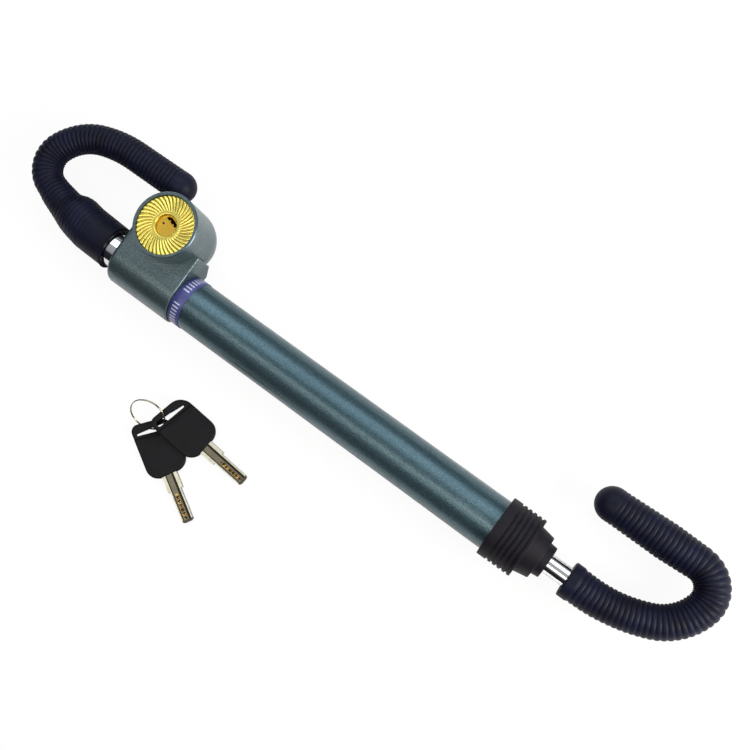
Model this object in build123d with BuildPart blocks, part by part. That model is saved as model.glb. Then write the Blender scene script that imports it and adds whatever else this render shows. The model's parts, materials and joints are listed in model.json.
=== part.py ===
from build123d import *
import os
from math import cos, sin, tan, radians

os.makedirs("parts", exist_ok=True)

# Frame: +X runs along the bar from the lock head to the fixed hook, +Y points
# to the side that both hooks open on, +Z comes out of the lock face. The origin
# is where the lock cylinder's axis meets the surface that the lock lies on.

# Fits
seat_gap = 0.02  # between pieces that are pressed, brazed or glued together
run_gap = 0.05  # between pieces that slide or turn in one another
face_gap = 0.3  # between pieces that only lie beside one another
clear_cut = 1.0  # how far a cutter runs past the metal that it cuts

# The bar
bar_y = -30.0  # bar axis, measured from the lock cylinder's axis
boot_r = 19.1  # the boot is the thickest round piece, so the bar lies on it
bar_z = boot_r
tube_r = 16.0
tube_wall = 2.0
tube_right = 276.0

# Lock head
head_left = -26.0
head_length = 49.5
head_wall = 1.7  # metal over the tube
head_lip = 3.0  # metal in front of the tube's end
head_corner = 3.0
web_reach = 25.5  # from the bar axis towards the lock boss
web_low = -8.0
web_corner = 6.0
head_end_corner = 1.0
boss_r = 20.6
boss_rise = 32.8  # from the bar axis up to the rim
boss_waist = 1.4  # height over the bar axis where the boss starts to round off
boss_foot_r = 10.5
boss_draft = 0.3
rim_wall = 2.0
rim_chamfer = 0.5

# Brass rosette
rosette_drop = 0.8  # below the rim
rosette_thick = 5.6
rosette_dish = 0.6
rosette_bore_gap = 0.15
flute_count = 40
flute_r = 0.62
flute_start_r = 10.0
flute_sweep = 17.0  # degrees that a flute turns through on its way out

# Lock cylinder
cylinder_r = 11.0
cylinder_length = 17.5
plug_r = 6.7
plug_recess = 2.4  # below the rosette's inner edge
keyway_angle = 74.0  # direction from the plug's centre to the keyway
keyway_width = 8.4
keyway_height = 2.6
keyway_offset = 4.3
keyway_depth = 18.5
plug_rim = 0.7  # metal left between the keyway and the plug's edge
ward_width = 0.9
ward_height = 0.8
pin_count = 5
pin_pitch = 3.0
pin_r = 1.1
pin_head_room = 2.6  # first pin below the cylinder's top
driver_length = 1.8
spring_wall = 0.3
spring_room = 0.1
drill_pin_r = 0.7
drill_pin_length = 8.0
drill_pin_at = (-3.1, 0.4)

# Plug tail, clip and cam
neck_r = 5.0
neck_length = 2.6
clip_thick = 1.0
clip_groove = 0.8
clip_r = 7.6
clip_opening = 5.0
tang_side = 4.0
cam_r = 5.2
cam_thick = 2.0
cam_throw = 3.2  # from the plug's axis to the cam pin's axis
cam_pin_r = 1.5
cam_pin_length = 6.6

# Locking bolt
bolt_width = 4.5
bolt_height = 8.0
bolt_engage = 9.9  # bolt tip's distance from the bar axis when thrown
bolt_turn = 90.0  # degrees of plug turn that throw the bolt
bolt_chamfer = 0.8
yoke_width = 11.0
yoke_length = 10.0
yoke_slot_gap = 0.25
yoke_wall = 2.0
chamber_r = 10.5

# Sliding shank
shank_r = 11.75
shank_chamfer = 1.0
shank_out = 34.5  # how far it stands out of the head, under the sleeve too
shank_right = 200.0
groove_pitch = 12.0
groove_count = 16
groove_depth = 2.3
groove_floor = 5.0
groove_slope = 1.2
spigot_r = 10.0
stop_length = 13.5
stop_head_r = 5.5
stop_head_round = 0.8
stop_head_thick = 3.0
stop_socket_r = 2.2
stop_socket_depth = 2.0
stop_screw_r = 3.0
stop_screw_length = 16.0
bush_right = 6.2
socket_depth = 12.0

# Fixed hook's end of the tube
end_plug_length = 18.0
end_plug_chamfer = 1.0
end_flange_r = 15.6
end_flange_thick = 3.0
end_neck_r = 9.0
end_neck_length = 6.0
cross_pin_r = 2.5
cross_pin_inset = 8.0  # from the tube's end
cross_pin_short = 0.3  # below the tube's surface at both ends
boot_lap = 17.5  # how far the boot reaches back over the tube
boot_collar = 6.0
boot_ribs = 5
boot_rib_pitch = 3.2
boot_rib_crest = 1.9
boot_rib_depth = 1.2
boot_taper = 0.2  # loss of radius from rib to rib
boot_second_r = (15.0, 13.4)
boot_second_length = 8.8
boot_third_r = (10.3, 9.8)
boot_third_length = 4.6

# Hooks
fixed_rod_r = 6.0
fixed_sleeve_r = 9.9
fixed_collar_r = 10.6
fixed_collar_length = 6.0
fixed_sleeve_start = 31.0  # past the tube's end
fixed_bend_start = 61.5  # past the tube's end
fixed_wide_bend = 41.0
fixed_tight_bend = 18.4
fixed_wide_turn = 65.0
fixed_lean = 2.5  # degrees that the outer arm leans back towards the bar
fixed_arm_length = 52.7
sliding_rod_r = 6.5
sliding_sleeve_r = 9.8
sliding_mouth_x = -35.0
sliding_arm_y = 26.7
sliding_tip_x = -23.0
sliding_bend_start = -66.0
sliding_wide_bend = 47.0
sliding_tight_bend = 15.2
sliding_wide_turn = 65.0
sliding_lean = 7.4  # degrees that the lower arm leans off the bar axis
sleeve_rib_pitch = 3.0
sleeve_rib_width = 0.9
sleeve_rib_depth = 0.6
sleeve_plain_tip = 3.0  # without ribs, at the rounded end
# the sleeve's swelling: distance from its mouth, radius, lift off the bar axis
swell = (
    (0.0, 14.9, 0.0),
    (15.0, 14.65, 1.05),
    (30.0, 14.6, 2.3),
    (33.5, 14.1, 2.3),
    (37.0, 12.6, 2.5),
    (43.0, 11.2, 3.7),
    (49.5, 10.6, 5.6),
    (56.5, 9.9, 6.9),
)

# Head pins, by station along the bar and angle round it, and the web's own pin
head_pin_r = 1.2
head_pin_depth = 5.2
head_pins = ((-14.0, 140.0), (-14.0, 220.0))
web_pin_inset = 7.5  # from the head's end
web_pin_off = 13.0  # from the bar axis towards the boss
web_pin_depth = 9.4

# Label band
band_thick = 0.3
band_width = 5.2
band_gap = 0.4

# Keys
ring_centre = (44.2, -102.4, 8.9)
ring_r = 11.6
ring_wire_r = 0.62
ring_tilt = 45.0
ring_heading = 22.0
bow_length = 36.6  # from the foot, where the blade comes out, along the bow's middle
bow_half = 13.5
bow_offset = 0.6  # bow's middle off the blade's
bow_thick = 3.2
bow_edge = 0.7
bow_slant = 10.0  # degrees that the bow's end and its slot lean
bow_long_corner = 4.5
bow_short_corner = 10.0
bow_foot_corner = 8.5
slot_inset = 5.5  # slot's middle from the bow's end
slot_length = 20.8
slot_width = 3.8
slot_rim = 4.0  # thin end of the bow, past the slot's middle
slot_rim_step = 0.6
blade_thick = 2.4
shoulder_width = 10.0
shoulder_length = 10.5
blade_width = 7.2
blade_length = 31.8
blade_tip_corner = 1.8
blade_tang = 9.0
blade_groove_width = 0.9
blade_groove_depth = 0.4
blade_groove_offset = 2.4
dimple_count = 6
dimple_pitch = 2.7
dimple_r = 0.8
dimple_depth = 0.5
dimple_taper = 40.0

# (tag, angle round the ring, heading, pitch, ring's place off the bow's middle)
keys = (("a", -41.0, -30.0, 2.05, 6.5), ("b", -3.0, -5.1, 5.2, -4.3))

# Worked out from the sizes above
head_right = head_left + head_length
head_r = tube_r + head_wall
tube_left = head_left + head_lip
tube_bore_r = tube_r - tube_wall
rim_top = bar_z + boss_rise
rosette_top = rim_top - rosette_drop
rosette_seat = rosette_top - rosette_thick
rosette_r = boss_r - rim_wall - seat_gap
rosette_bore_r = plug_r + rosette_bore_gap
rosette_inner_top = rosette_top - rosette_dish
plug_top = rosette_inner_top - plug_recess
cylinder_bottom = rosette_seat - cylinder_length
neck_bottom = cylinder_bottom - neck_length
cam_bottom = neck_bottom - cam_thick
bolt_travel = 2 * cam_throw * sin(radians(bolt_turn / 2))
bolt_tip_y = bar_y + bolt_engage + bolt_travel
cam_pin_x = cam_throw * cos(radians(bolt_turn / 2))
cam_pin_y = cam_throw * sin(radians(bolt_turn / 2))
chamber_floor = bar_z - bolt_height / 2 - run_gap
keyway_dir = (cos(radians(keyway_angle)), sin(radians(keyway_angle)))
pin_stations = [rosette_seat - pin_head_room - i * pin_pitch for i in range(pin_count)]
pin_inner = keyway_offset - keyway_height / 2 - run_gap
shank_left = head_left - shank_out
stop_left = shank_right - stop_length
sliding_tight_turn = 180.0 - sliding_wide_turn - sliding_lean
end_plug_face = tube_right + end_flange_thick
boot_left = tube_right - boot_lap
fixed_sleeve_left = tube_right + fixed_sleeve_start
fixed_tight_turn = 180.0 - fixed_wide_turn + fixed_lean

bar_axis = Axis((0, bar_y, bar_z), (1, 0, 0))
bar_profile = Plane(origin=(0, bar_y, bar_z), x_dir=(1, 0, 0), z_dir=(0, -1, 0))
cross_pin_foot = Plane(
    origin=(tube_right - cross_pin_inset, bar_y, bar_z - tube_r + cross_pin_short),
    x_dir=(1, 0, 0),
    z_dir=(0, 0, 1),
)
bolt_line = Plane(origin=(0, bar_y, bar_z), x_dir=(1, 0, 0), z_dir=(0, 1, 0))
hook_level = Plane.XY.offset(bar_z)
web_top = Plane(
    origin=(head_right - web_pin_inset, bar_y + web_pin_off, bar_z + head_r),
    x_dir=(1, 0, 0),
    z_dir=(0, 0, 1),
)


def across(x):
    """Plane square to the bar at station x, with local x towards +Y."""
    return Plane(origin=(x, bar_y, bar_z), x_dir=(0, 1, 0), z_dir=(1, 0, 0))


def out_of_bar(x, angle):
    """Plane whose normal points straight out of the bar at this angle round it."""
    normal = (0, cos(radians(angle)), sin(radians(angle)))
    return Plane(origin=(x, bar_y, bar_z), x_dir=(1, 0, 0), z_dir=normal)


def rib_planes(path, first, last):
    """Planes square to the path, one rib pitch apart, between two lengths along it."""
    count = int((last - first) / sleeve_rib_pitch) + 1
    shares = [(first + i * sleeve_rib_pitch) / path.length for i in range(count)]
    return [Plane(origin=path @ share, z_dir=path % share) for share in shares]


def through_plug(z, reach):
    """Plane at height z whose normal points from the keyway across the plug."""
    away = (-keyway_dir[0], -keyway_dir[1], 0)
    centre = (away[0] * reach, away[1] * reach, z)
    return Plane(origin=centre, x_dir=(0, 0, 1), z_dir=away)


# ---- Bar ----

with BuildPart() as main_tube:
    with BuildSketch(across(tube_left)):
        Circle(tube_r)
        Circle(tube_bore_r, mode=Mode.SUBTRACT)
    extrude(amount=tube_right - tube_left)
    with BuildSketch(bolt_line):
        Rectangle(bolt_width + 2 * run_gap, bolt_height + 2 * run_gap)
    extrude(amount=tube_r + head_wall, mode=Mode.SUBTRACT)
    with BuildSketch(cross_pin_foot.offset(-clear_cut)):
        Circle(cross_pin_r + seat_gap)
    extrude(amount=2 * (tube_r + clear_cut), mode=Mode.SUBTRACT)
    for station, angle in head_pins:
        with BuildSketch(out_of_bar(station, angle).offset(tube_bore_r - clear_cut)):
            Circle(head_pin_r + seat_gap)
        extrude(amount=tube_wall + 2 * clear_cut, mode=Mode.SUBTRACT)
    with BuildSketch(web_top):
        Circle(head_pin_r + seat_gap)
    extrude(amount=-web_pin_depth, mode=Mode.SUBTRACT)
main_tube.part.label = "main_tube"
export_step(main_tube.part, "parts/main_tube.step")

with BuildPart() as label_band:
    with BuildSketch(across(head_right + band_gap)):
        Circle(tube_r + seat_gap + band_thick)
        Circle(tube_r + seat_gap, mode=Mode.SUBTRACT)
    extrude(amount=band_width)
label_band.part.label = "label_band"
export_step(label_band.part, "parts/label_band.step")

with BuildPart() as mouth_bush:
    with BuildSketch(across(tube_left)):
        Circle(tube_bore_r - seat_gap)
        Circle(shank_r + run_gap, mode=Mode.SUBTRACT)
    extrude(amount=bush_right - tube_left)
    with BuildSketch(bolt_line):
        Rectangle(bolt_width + 2 * run_gap, bolt_height + 2 * run_gap)
    extrude(amount=tube_r, mode=Mode.SUBTRACT)
    for station, angle in head_pins:
        with BuildSketch(out_of_bar(station, angle).offset(head_r - head_pin_depth)):
            Circle(head_pin_r + seat_gap)
        extrude(amount=head_pin_depth, mode=Mode.SUBTRACT)
mouth_bush.part.label = "mouth_bush"
export_step(mouth_bush.part, "parts/mouth_bush.step")

# ---- Lock head ----

with BuildPart() as lock_housing:
    with BuildSketch(across(head_left)):
        Circle(head_r)
        with BuildLine():
            Polyline(
                (0, web_low),
                (web_reach - web_corner, web_low),
                (web_reach, web_low + web_corner),
                (web_reach, head_r),
                (0, head_r),
                close=True,
            )
        make_face()
        fillet(vertices().sort_by(Axis.Y)[-1:], web_corner)
    extrude(amount=head_length)
    fillet(lock_housing.faces().sort_by(Axis.X)[0].outer_wire().edges(), head_corner)
    fillet(lock_housing.faces().sort_by(Axis.X)[-1].outer_wire().edges(), head_end_corner)
    with BuildSketch(Plane.XZ):
        with BuildLine():
            waist = (boss_r - boss_draft, bar_z + boss_waist)
            rim = ((0, rim_top), (boss_r - rim_chamfer, rim_top), (boss_r, rim_top - rim_chamfer))
            Polyline((0, 0), *rim, waist)
            flank = TangentArc(waist, (boss_foot_r, 0), tangent=(-boss_draft, -boss_rise))
            Line(flank @ 1, (0, 0))
        make_face()
    revolve(axis=Axis.Z)
    with BuildSketch(Plane.XZ):
        with BuildLine():
            Polyline(
                (0, chamber_floor),
                (chamber_r, chamber_floor),
                (chamber_r, cylinder_bottom),
                (cylinder_r + seat_gap, cylinder_bottom),
                (cylinder_r + seat_gap, rosette_seat),
                (rosette_r + seat_gap, rosette_seat),
                (rosette_r + seat_gap, rim_top + clear_cut),
                (0, rim_top + clear_cut),
                close=True,
            )
        make_face()
    revolve(axis=Axis.Z, mode=Mode.SUBTRACT)
    with BuildSketch(bolt_line):
        Rectangle(bolt_width + 2 * run_gap, bolt_height + 2 * run_gap)
    extrude(amount=-bar_y, mode=Mode.SUBTRACT)
    with BuildSketch(across(tube_left)):
        Circle(tube_r + seat_gap)
    extrude(amount=head_length, mode=Mode.SUBTRACT)
    with BuildSketch(across(head_left)):
        Circle(shank_r + face_gap)
    extrude(amount=head_lip, mode=Mode.SUBTRACT)
    for station, angle in head_pins:
        with BuildSketch(out_of_bar(station, angle).offset(tube_r - clear_cut)):
            Circle(head_pin_r + seat_gap)
        extrude(amount=head_wall + 2 * clear_cut, mode=Mode.SUBTRACT)
    with BuildSketch(web_top):
        Circle(head_pin_r + seat_gap)
    extrude(amount=-web_pin_depth, mode=Mode.SUBTRACT)
lock_housing.part.label = "lock_housing"
export_step(lock_housing.part, "parts/lock_housing.step")

with BuildPart() as head_pin_set:
    for station, angle in head_pins:
        with BuildSketch(out_of_bar(station, angle).offset(head_r - head_pin_depth + seat_gap)):
            Circle(head_pin_r)
        extrude(amount=head_pin_depth - 2 * seat_gap)
head_pin_set.part.label = "head_pin_set"
export_step(head_pin_set.part, "parts/head_pin_set.step")

with BuildPart() as web_pin:
    with BuildSketch(web_top.offset(-seat_gap)):
        Circle(head_pin_r)
    extrude(amount=-(web_pin_depth - 2 * seat_gap))
web_pin.part.label = "web_pin"
export_step(web_pin.part, "parts/web_pin.step")

# The rosette is a shallow brass dish with flutes that swirl out to its edge.
# One flute is cut by a round tool swept up the dish, and the rest are its copies.
flute_reach = rosette_r + clear_cut
flute_middle_r = (flute_start_r + flute_reach) / 2
flute_middle_turn = radians(flute_sweep * 0.36)
flute_end_turn = radians(flute_sweep)

with BuildPart() as flute_tool:
    with BuildLine() as flute_path:
        ThreePointArc(
            (flute_start_r, 0, rosette_inner_top + flute_r / 2),
            (
                flute_middle_r * cos(flute_middle_turn),
                flute_middle_r * sin(flute_middle_turn),
                rosette_top - rosette_dish / 2,
            ),
            (flute_reach * cos(flute_end_turn), flute_reach * sin(flute_end_turn), rosette_top),
        )
    with BuildSketch(Plane(origin=flute_path.line @ 0, z_dir=flute_path.line % 0)):
        Circle(flute_r)
    sweep(path=flute_path.line)

with BuildPart() as face_rosette:
    with BuildSketch(Plane.XZ):
        with BuildLine():
            Polyline(
                (rosette_bore_r, rosette_seat),
                (rosette_r, rosette_seat),
                (rosette_r, rosette_top),
                (flute_start_r - clear_cut, rosette_inner_top),
                (rosette_bore_r, rosette_inner_top),
                close=True,
            )
        make_face()
    revolve(axis=Axis.Z)
    with PolarLocations(0, flute_count):
        add(flute_tool.part, mode=Mode.SUBTRACT)
face_rosette.part.label = "face_rosette"
export_step(face_rosette.part, "parts/face_rosette.step")

# ---- Lock cylinder ----

with BuildPart() as cylinder_body:
    with BuildSketch(Plane.XY.offset(cylinder_bottom)):
        Circle(cylinder_r)
        Circle(plug_r + run_gap, mode=Mode.SUBTRACT)
    extrude(amount=cylinder_length)
    for z in pin_stations:
        with BuildSketch(through_plug(z, plug_r - clear_cut)):
            Circle(pin_r + seat_gap)
        extrude(amount=cylinder_r - plug_r + 2 * clear_cut, mode=Mode.SUBTRACT)
cylinder_body.part.label = "cylinder_body"
export_step(cylinder_body.part, "parts/cylinder_body.step")

with BuildPart() as driver_pins:
    for z in pin_stations:
        with BuildSketch(through_plug(z, plug_r + run_gap + seat_gap)):
            Circle(pin_r)
        extrude(amount=driver_length)
driver_pins.part.label = "driver_pins"
export_step(driver_pins.part, "parts/driver_pins.step")

with BuildPart() as driver_springs:
    spring_start = plug_r + run_gap + driver_length + 2 * seat_gap
    for z in pin_stations:
        with BuildSketch(through_plug(z, spring_start)):
            Circle(pin_r)
            Circle(pin_r - spring_wall, mode=Mode.SUBTRACT)
        extrude(amount=cylinder_r - spring_start - spring_room)
driver_springs.part.label = "driver_springs"
export_step(driver_springs.part, "parts/driver_springs.step")

with BuildPart() as cylinder_plug:
    with BuildSketch(Plane.XZ):
        groove_top = cylinder_bottom - run_gap
        groove_bottom = groove_top - clip_thick - 2 * seat_gap
        with BuildLine():
            Polyline(
                (0, neck_bottom - cam_thick + seat_gap),
                (0, plug_top),
                (plug_r, plug_top),
                (plug_r, cylinder_bottom),
                (neck_r, cylinder_bottom),
                (neck_r, groove_top),
                (neck_r - clip_groove, groove_top),
                (neck_r - clip_groove, groove_bottom),
                (neck_r, groove_bottom),
                (neck_r, neck_bottom),
                (tang_side / 2, neck_bottom),
                (tang_side / 2, neck_bottom - cam_thick + seat_gap),
                close=True,
            )
        make_face()
    revolve(axis=Axis.Z)
    with BuildSketch(Plane.XY.offset(neck_bottom)):
        Circle(plug_r)
        Rectangle(tang_side, tang_side, mode=Mode.SUBTRACT)
    extrude(amount=-cam_thick, mode=Mode.SUBTRACT)
    # keyway: a slot close to the plug's edge, with two wards on its inner side
    with BuildSketch(Plane.XY.offset(plug_top)):
        with Locations(Location((0, 0), keyway_angle - 90)):
            with Locations((0, keyway_offset)):
                Rectangle(keyway_width, keyway_height)
            with Locations(
                (-keyway_width / 6, keyway_offset - (keyway_height - ward_height) / 2),
                (keyway_width / 5, keyway_offset - (keyway_height - ward_height) / 2),
            ):
                Rectangle(ward_width, ward_height, mode=Mode.SUBTRACT)
        Circle(plug_r - plug_rim, mode=Mode.INTERSECT)
    extrude(amount=-keyway_depth, mode=Mode.SUBTRACT)
    for z in pin_stations:
        with BuildSketch(through_plug(z, -pin_inner)):
            Circle(pin_r + seat_gap)
        extrude(amount=pin_inner + plug_r + clear_cut, mode=Mode.SUBTRACT)
    with BuildSketch(Plane.XY.offset(plug_top)):
        with Locations(drill_pin_at):
            Circle(drill_pin_r + seat_gap)
    extrude(amount=-drill_pin_length, mode=Mode.SUBTRACT)
cylinder_plug.part.label = "cylinder_plug"
export_step(cylinder_plug.part, "parts/cylinder_plug.step")

with BuildPart() as plug_pins:
    for z in pin_stations:
        with BuildSketch(through_plug(z, -pin_inner + seat_gap)):
            Circle(pin_r)
        extrude(amount=pin_inner + plug_r - 2 * seat_gap - run_gap)
plug_pins.part.label = "plug_pins"
export_step(plug_pins.part, "parts/plug_pins.step")

with BuildPart() as drill_pin:
    with BuildSketch(Plane.XY.offset(plug_top - seat_gap)):
        with Locations(drill_pin_at):
            Circle(drill_pin_r)
    extrude(amount=-(drill_pin_length - 2 * seat_gap))
drill_pin.part.label = "drill_pin"
export_step(drill_pin.part, "parts/drill_pin.step")

with BuildPart() as plug_clip:
    with BuildSketch(Plane.XY.offset(cylinder_bottom - run_gap - seat_gap)):
        Circle(clip_r)
        Circle(neck_r - clip_groove + seat_gap, mode=Mode.SUBTRACT)
        with Locations((clip_r / 2, 0)):
            Rectangle(clip_r, clip_opening, mode=Mode.SUBTRACT)
    extrude(amount=-clip_thick)
plug_clip.part.label = "plug_clip"
export_step(plug_clip.part, "parts/plug_clip.step")

# The cam carries a pin off its centre, which pushes the bolt across.
with BuildPart() as cam_tailpiece:
    with BuildSketch(Plane.XY.offset(neck_bottom - seat_gap)):
        Circle(cam_r)
        Rectangle(tang_side + 2 * seat_gap, tang_side + 2 * seat_gap, mode=Mode.SUBTRACT)
    extrude(amount=-cam_thick)
    with BuildSketch(Plane.XY.offset(cam_bottom - seat_gap)):
        with Locations((cam_pin_x, cam_pin_y)):
            Circle(cam_pin_r)
    extrude(amount=-cam_pin_length)
cam_tailpiece.part.label = "cam_tailpiece"
export_step(cam_tailpiece.part, "parts/cam_tailpiece.step")

with BuildPart() as locking_bolt:
    yoke_back = cam_pin_y + cam_pin_r + yoke_slot_gap + yoke_wall
    with BuildSketch(Plane.XY.offset(bar_z - bolt_height / 2)):
        with Locations((0, bolt_tip_y)):
            Rectangle(bolt_width, yoke_back - bolt_tip_y, align=(Align.CENTER, Align.MIN))
        with Locations((0, yoke_back)):
            Rectangle(yoke_width, yoke_length, align=(Align.CENTER, Align.MAX))
    extrude(amount=bolt_height)
    tip_edges = locking_bolt.faces().sort_by(Axis.Y)[0].edges().filter_by(Axis.Z)
    chamfer(tip_edges, bolt_chamfer)
    # the slot for the cam pin is open on one side, so the bolt's back is a fork
    slot_half = cam_pin_r + yoke_slot_gap
    with BuildSketch(Plane.XY.offset(bar_z + bolt_height / 2)):
        with Locations((cam_pin_x - slot_half, cam_pin_y)):
            Rectangle(yoke_width, 2 * slot_half, align=(Align.MIN, Align.CENTER))
    extrude(amount=-cam_pin_length, mode=Mode.SUBTRACT)
locking_bolt.part.label = "locking_bolt"
export_step(locking_bolt.part, "parts/locking_bolt.step")

# ---- Sliding side ----

# The hook's centreline, from its tip round the bend and back to the shank
with BuildLine(hook_level) as sliding_path:
    upper = Line((sliding_tip_x, sliding_arm_y), (sliding_bend_start, sliding_arm_y))
    wide = JernArc(upper @ 1, upper % 1, sliding_wide_bend, sliding_wide_turn)
    tight = JernArc(wide @ 1, wide % 1, sliding_tight_bend, sliding_tight_turn)
    arm_run = (shank_left + socket_depth - (tight @ 1).X) / cos(radians(sliding_lean))
    Line(tight @ 1, tight @ 1 + (tight % 1) * arm_run)
sliding_tip = Plane(origin=sliding_path.line @ 0, z_dir=sliding_path.line % 0)
swell_run = (shank_left + socket_depth - sliding_mouth_x + swell[-1][0]) / cos(radians(sliding_lean))

with BuildPart() as sliding_hook_rod:
    with BuildSketch(sliding_tip):
        Circle(sliding_rod_r)
    sweep(path=sliding_path.line)
sliding_hook_rod.part.label = "sliding_hook_rod"
export_step(sliding_hook_rod.part, "parts/sliding_hook_rod.step")

with BuildPart() as sliding_shank:
    with BuildSketch(bar_profile):
        with BuildLine():
            outline = [(shank_left, 0), (shank_left, shank_r - shank_chamfer)]
            outline.append((shank_left + shank_chamfer, shank_r))
            floor_r = shank_r - groove_depth
            for i in range(groove_count):
                x = i * groove_pitch
                outline.append((x - groove_floor / 2 - groove_slope, shank_r))
                outline.append((x - groove_floor / 2, floor_r))
                outline.append((x + groove_floor / 2, floor_r))
                outline.append((x + groove_floor / 2 + groove_slope, shank_r))
            outline.append((stop_left, shank_r))
            outline.append((stop_left, spigot_r))
            outline.append((shank_right, spigot_r))
            outline.append((shank_right, 0))
            Polyline(outline, close=True)
        make_face()
    revolve(axis=bar_axis)
    with BuildSketch(sliding_tip):
        Circle(sliding_rod_r + seat_gap)
    sweep(path=sliding_path.line, mode=Mode.SUBTRACT)
    with BuildSketch(across(shank_right)):
        Circle(stop_screw_r + seat_gap)
    extrude(amount=-stop_screw_length, mode=Mode.SUBTRACT)
sliding_shank.part.label = "sliding_shank"
export_step(sliding_shank.part, "parts/sliding_shank.step")

with BuildPart() as stop_ring:
    with BuildSketch(across(stop_left + seat_gap)):
        Circle(tube_bore_r - run_gap)
        Circle(spigot_r + seat_gap, mode=Mode.SUBTRACT)
    extrude(amount=stop_length - 2 * seat_gap)
stop_ring.part.label = "stop_ring"
export_step(stop_ring.part, "parts/stop_ring.step")

with BuildPart() as stop_screw:
    with BuildSketch(across(shank_right)):
        Circle(stop_head_r)
    extrude(amount=stop_head_thick)
    fillet(stop_screw.faces().sort_by(Axis.X)[-1].edges(), stop_head_round)
    with BuildSketch(across(shank_right + stop_head_thick)):
        RegularPolygon(stop_socket_r, 6)
    extrude(amount=-stop_socket_depth, mode=Mode.SUBTRACT)
    with BuildSketch(across(shank_right)):
        Circle(stop_screw_r)
    extrude(amount=-(stop_screw_length - seat_gap))
stop_screw.part.label = "stop_screw"
export_step(stop_screw.part, "parts/stop_screw.step")

# The sleeve is a skin on the rod, ribbed round, that swells over the end of the shank.
with BuildPart() as sliding_hook_sleeve:
    with BuildSketch(sliding_tip):
        Circle(sliding_sleeve_r - sleeve_rib_depth)
    sweep(path=sliding_path.line)
    with Locations(sliding_tip):
        Sphere(sliding_sleeve_r)
    sleeve_line = sliding_path.wires()[0]
    with BuildSketch(*rib_planes(sleeve_line, sleeve_plain_tip, sleeve_line.length - swell_run)):
        Circle(sliding_sleeve_r)
    extrude(amount=sleeve_rib_width / 2, both=True)
    for along, radius, lift in swell:
        with BuildSketch(across(sliding_mouth_x - along)):
            with Locations((lift, 0)):
                Circle(radius)
    loft(ruled=True)
    with BuildSketch(across(shank_left - seat_gap)):
        Circle(shank_r + seat_gap)
    extrude(amount=shank_right - shank_left, mode=Mode.SUBTRACT)
    with BuildSketch(across(sliding_mouth_x)):
        Circle(2 * swell[0][1])
    extrude(amount=shank_out, mode=Mode.SUBTRACT)
    with BuildSketch(sliding_tip):
        Circle(sliding_rod_r + seat_gap)
    sweep(path=sliding_path.line, mode=Mode.SUBTRACT)
sliding_hook_sleeve.part.label = "sliding_hook_sleeve"
export_step(sliding_hook_sleeve.part, "parts/sliding_hook_sleeve.step")

# ---- Fixed side ----

with BuildPart() as end_plug:
    with BuildSketch(bar_profile):
        with BuildLine():
            Polyline(
                (tube_right - end_plug_length, fixed_rod_r + seat_gap),
                (tube_right - end_plug_length, tube_bore_r - seat_gap - end_plug_chamfer),
                (tube_right - end_plug_length + end_plug_chamfer, tube_bore_r - seat_gap),
                (tube_right, tube_bore_r - seat_gap),
                (tube_right, end_flange_r),
                (end_plug_face, end_flange_r),
                (end_plug_face, end_neck_r),
                (end_plug_face + end_neck_length, end_neck_r),
                (end_plug_face + end_neck_length, fixed_rod_r + seat_gap),
                close=True,
            )
        make_face()
    revolve(axis=bar_axis)
    with BuildSketch(cross_pin_foot):
        Circle(cross_pin_r + seat_gap)
    extrude(amount=2 * tube_r, mode=Mode.SUBTRACT)
end_plug.part.label = "end_plug"
export_step(end_plug.part, "parts/end_plug.step")

with BuildPart() as cross_pin:
    with BuildSketch(cross_pin_foot):
        Circle(cross_pin_r)
    extrude(amount=2 * (tube_r - cross_pin_short))
cross_pin.part.label = "cross_pin"
export_step(cross_pin.part, "parts/cross_pin.step")

with BuildLine(hook_level) as fixed_path:
    lower = Line((tube_right - end_plug_length, bar_y), (tube_right + fixed_bend_start, bar_y))
    wide = JernArc(lower @ 1, lower % 1, fixed_wide_bend, fixed_wide_turn)
    tight = JernArc(wide @ 1, wide % 1, fixed_tight_bend, fixed_tight_turn)
    Line(tight @ 1, tight @ 1 + (tight % 1) * fixed_arm_length)

with BuildPart() as fixed_hook_rod:
    with BuildSketch(across(tube_right - end_plug_length)):
        Circle(fixed_rod_r)
    sweep(path=fixed_path.line)
    with BuildSketch(cross_pin_foot):
        Circle(cross_pin_r + seat_gap)
    extrude(amount=2 * tube_r, mode=Mode.SUBTRACT)
fixed_hook_rod.part.label = "fixed_hook_rod"
export_step(fixed_hook_rod.part, "parts/fixed_hook_rod.step")

with BuildPart() as fixed_hook_sleeve:
    with BuildSketch(across(tube_right - end_plug_length)):
        Circle(fixed_sleeve_r - sleeve_rib_depth)
    sweep(path=fixed_path.line)
    with Locations(Plane(origin=fixed_path.line @ 1, z_dir=fixed_path.line % 1)):
        Sphere(fixed_sleeve_r)
    first_rib = fixed_sleeve_start + fixed_collar_length + end_plug_length + sleeve_rib_pitch
    sleeve_line = fixed_path.wires()[0]
    with BuildSketch(*rib_planes(sleeve_line, first_rib, sleeve_line.length - sleeve_plain_tip)):
        Circle(fixed_sleeve_r)
    extrude(amount=sleeve_rib_width / 2, both=True)
    with BuildSketch(across(fixed_sleeve_left)):
        Circle(fixed_collar_r)
    extrude(amount=fixed_collar_length)
    with BuildSketch(across(fixed_sleeve_left)):
        Circle(2 * fixed_collar_r)
    extrude(amount=-(fixed_sleeve_left - tube_right + end_plug_length), mode=Mode.SUBTRACT)
    with BuildSketch(across(tube_right - end_plug_length)):
        Circle(fixed_rod_r + seat_gap)
    sweep(path=fixed_path.line, mode=Mode.SUBTRACT)
fixed_hook_sleeve.part.label = "fixed_hook_sleeve"
export_step(fixed_hook_sleeve.part, "parts/fixed_hook_sleeve.step")

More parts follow.
